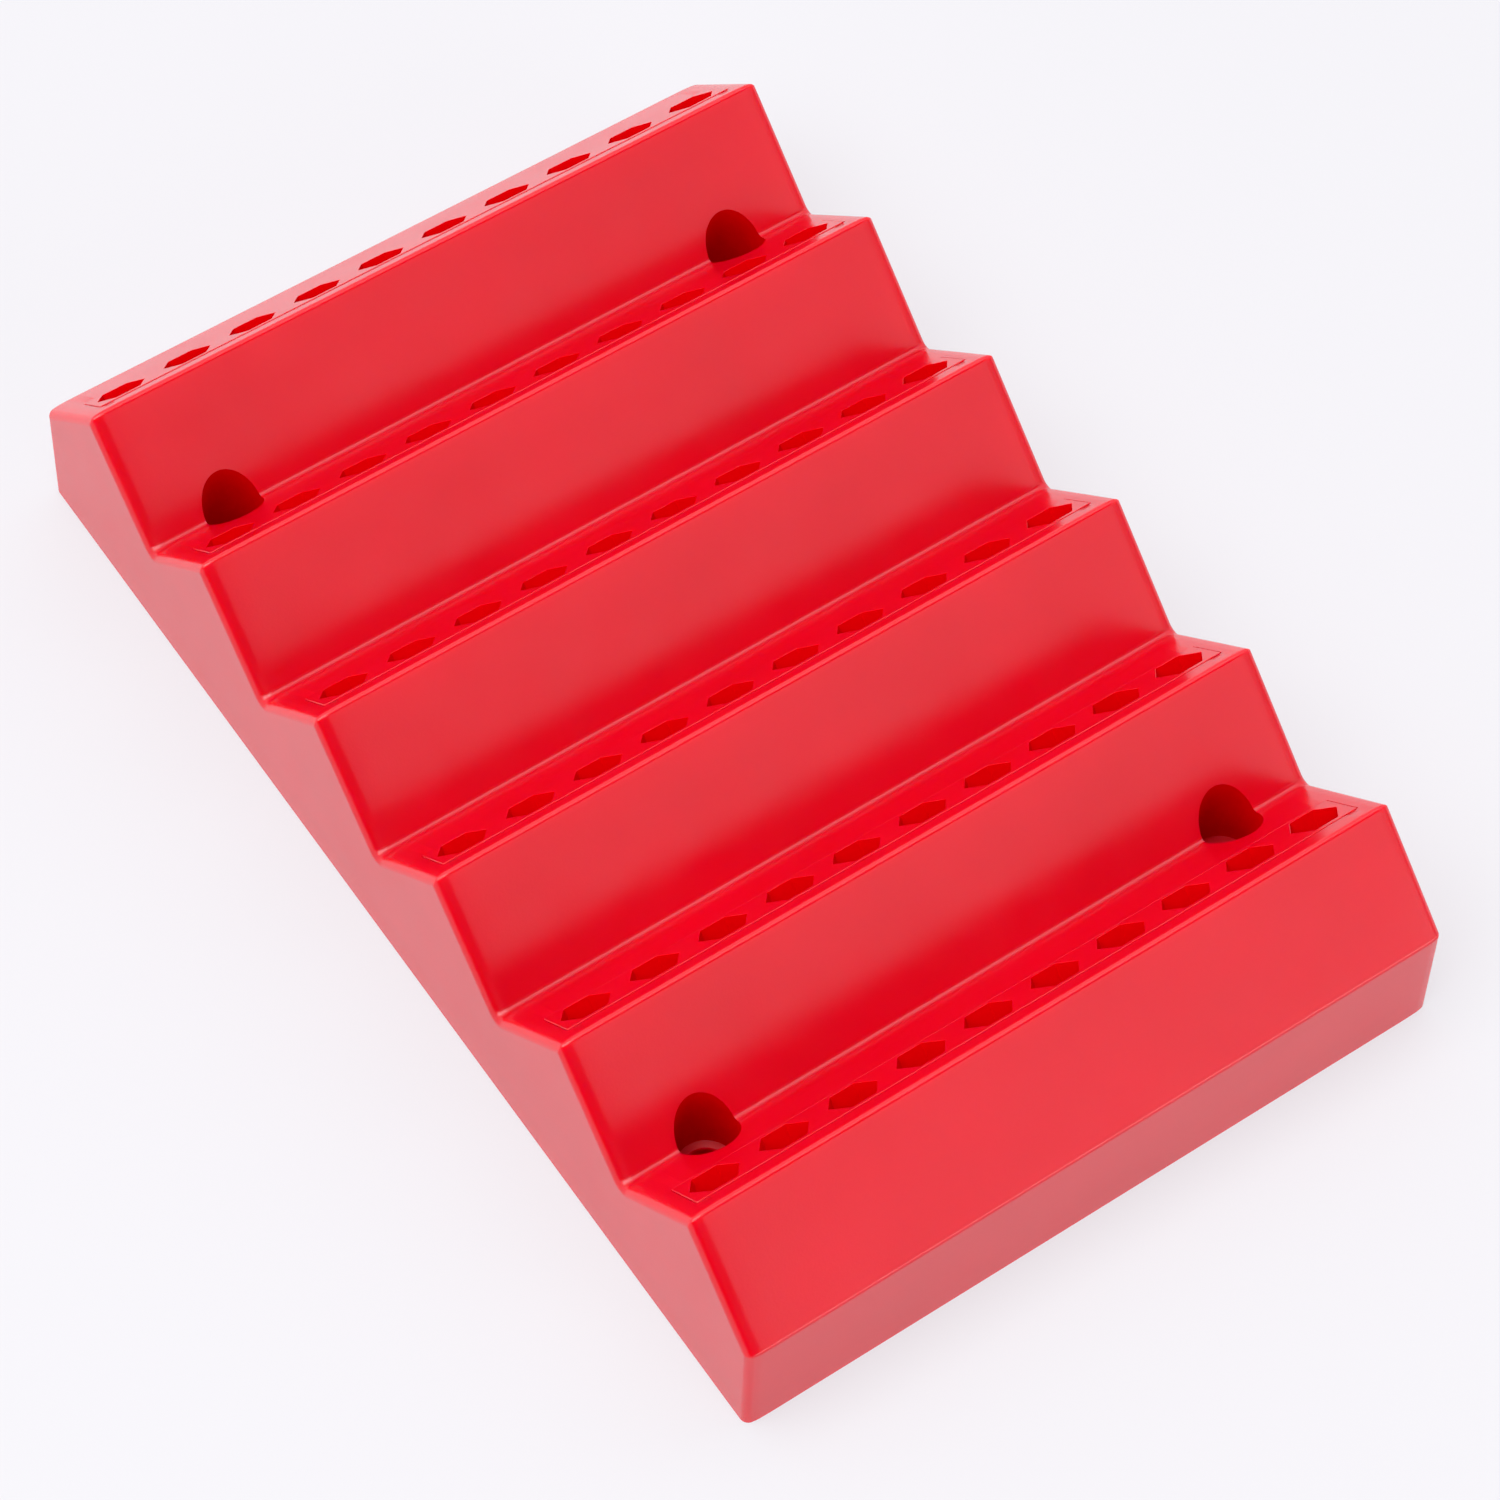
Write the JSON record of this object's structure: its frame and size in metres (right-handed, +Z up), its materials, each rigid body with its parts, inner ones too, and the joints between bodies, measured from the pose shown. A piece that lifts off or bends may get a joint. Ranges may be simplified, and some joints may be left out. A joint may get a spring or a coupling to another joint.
{
  "type": "hexagonal socket rack",
  "caption": "Ridged red plastic holder with rows of hexagonal sockets set square to its back slopes, for keeping small tools or tubes upright at a slant.",
  "frame": {"origin": "middle of the base, on the surface that the holder stands on", "axes": "+X along the rows of sockets, +Y towards the back, which the socket slopes face, +Z up"},
  "size_m": [0.114, 0.1806, 0.0332],
  "materials": {
    "body_plastic": "semi-gloss red moulded plastic with a very fine grain",
    "strip_plastic": "semi-gloss red moulded plastic, a little smoother than the body"
  },
  "bodies": {
    "root": {"ridged_body": "body_plastic", "socket_strip_1": "strip_plastic", "socket_strip_2": "strip_plastic", "socket_strip_3": "strip_plastic", "socket_strip_4": "strip_plastic", "socket_strip_5": "strip_plastic", "socket_strip_6": "strip_plastic"}
  },
  "joints": []
}
